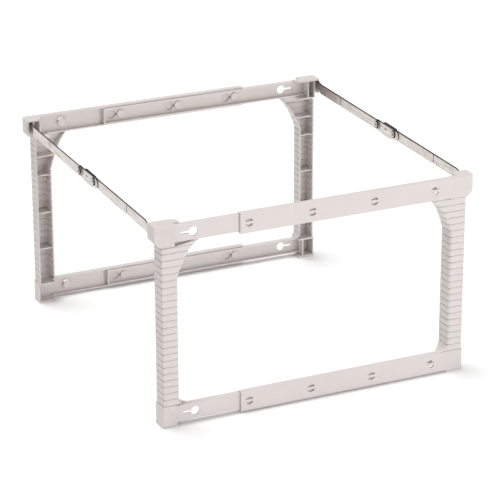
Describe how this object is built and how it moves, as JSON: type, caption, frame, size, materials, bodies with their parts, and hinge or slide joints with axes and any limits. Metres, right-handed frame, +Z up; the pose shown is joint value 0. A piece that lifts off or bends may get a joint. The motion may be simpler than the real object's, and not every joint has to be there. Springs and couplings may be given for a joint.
{
  "type": "hanging file rack",
  "caption": "Folding desktop rack for hanging folders: adjustable moulded end frames joined by riveted flat steel bars that the folders hook over.",
  "frame": {"origin": "on the floor, at the middle of the rack's footprint", "axes": "X along an end frame, Y from the near end frame to the far one (along the steel bars), Z up"},
  "size_m": [0.3906, 0.406, 0.237],
  "materials": {
    "moulded_plastic": "satin off-white moulding",
    "plated_steel": "bright plated strip"
  },
  "bodies": {
    "near_wide": {"near_wide_half": "moulded_plastic"},
    "near_slim": {"near_slim_half": "moulded_plastic"},
    "far_slim": {"far_slim_half": "moulded_plastic"},
    "far_wide": {"far_wide_half": "moulded_plastic"},
    "right_near_bar": {"right_near_strip": "plated_steel"},
    "right_middle": {"right_link": "plated_steel", "right_near_rivet": "plated_steel", "right_far_rivet": "plated_steel"},
    "right_far_bar": {"right_far_strip": "plated_steel"},
    "left_near_bar": {"left_near_strip": "plated_steel"},
    "left_middle": {"left_link": "plated_steel", "left_near_rivet": "plated_steel", "left_far_rivet": "plated_steel"},
    "left_far_bar": {"left_far_strip": "plated_steel"}
  },
  "joints": [
    {"name": "unlock", "type": "slide", "parent": "near_wide", "child": "near_slim", "axis": [-1, 0, 0], "range_m": [0, 0.0115]},
    {"name": "fold", "type": "hinge", "parent": "near_wide", "child": "right_near_bar", "pos_m": [0.1905, -0.194, 0.22825], "axis": [-1, 0, 0], "range_deg": [0, 85]},
    {"name": "right_near_rivet_turn", "type": "hinge", "parent": "right_near_bar", "child": "right_middle", "pos_m": [0.1905, -0.0202, 0.22825], "axis": [-1, 0, 0], "range_deg": [-85, 0]},
    {"name": "right_far_rivet_turn", "type": "hinge", "parent": "right_middle", "child": "right_far_bar", "pos_m": [0.1905, 0.0202, 0.22825], "axis": [-1, 0, 0], "range_deg": [-85, 0]},
    {"name": "far_frame_turn", "type": "hinge", "parent": "right_far_bar", "child": "far_slim", "pos_m": [0.1905, 0.194, 0.22825], "axis": [-1, 0, 0], "range_deg": [0, 85]},
    {"name": "far_unlock", "type": "slide", "parent": "far_slim", "child": "far_wide", "axis": [-1, 0, 0], "range_m": [0, 0.0115]},
    {"name": "left_fold", "type": "hinge", "parent": "near_slim", "child": "left_near_bar", "pos_m": [-0.1905, -0.194, 0.22825], "axis": [-1, 0, 0], "range_deg": [0, 85]},
    {"name": "left_near_rivet_turn", "type": "hinge", "parent": "left_near_bar", "child": "left_middle", "pos_m": [-0.1905, -0.0202, 0.22825], "axis": [-1, 0, 0], "range_deg": [-85, 0]},
    {"name": "left_far_rivet_turn", "type": "hinge", "parent": "left_middle", "child": "left_far_bar", "pos_m": [-0.1905, 0.0202, 0.22825], "axis": [-1, 0, 0], "range_deg": [-85, 0]}
  ],
  "couplings": [
    {"joint": "right_near_rivet_turn", "follows": "fold", "ratio": -1},
    {"joint": "right_far_rivet_turn", "follows": "fold", "ratio": -1},
    {"joint": "far_frame_turn", "follows": "fold", "ratio": 1},
    {"joint": "left_fold", "follows": "fold", "ratio": 1},
    {"joint": "left_near_rivet_turn", "follows": "fold", "ratio": -1},
    {"joint": "left_far_rivet_turn", "follows": "fold", "ratio": -1},
    {"joint": "far_unlock", "follows": "unlock", "ratio": 1}
  ]
}
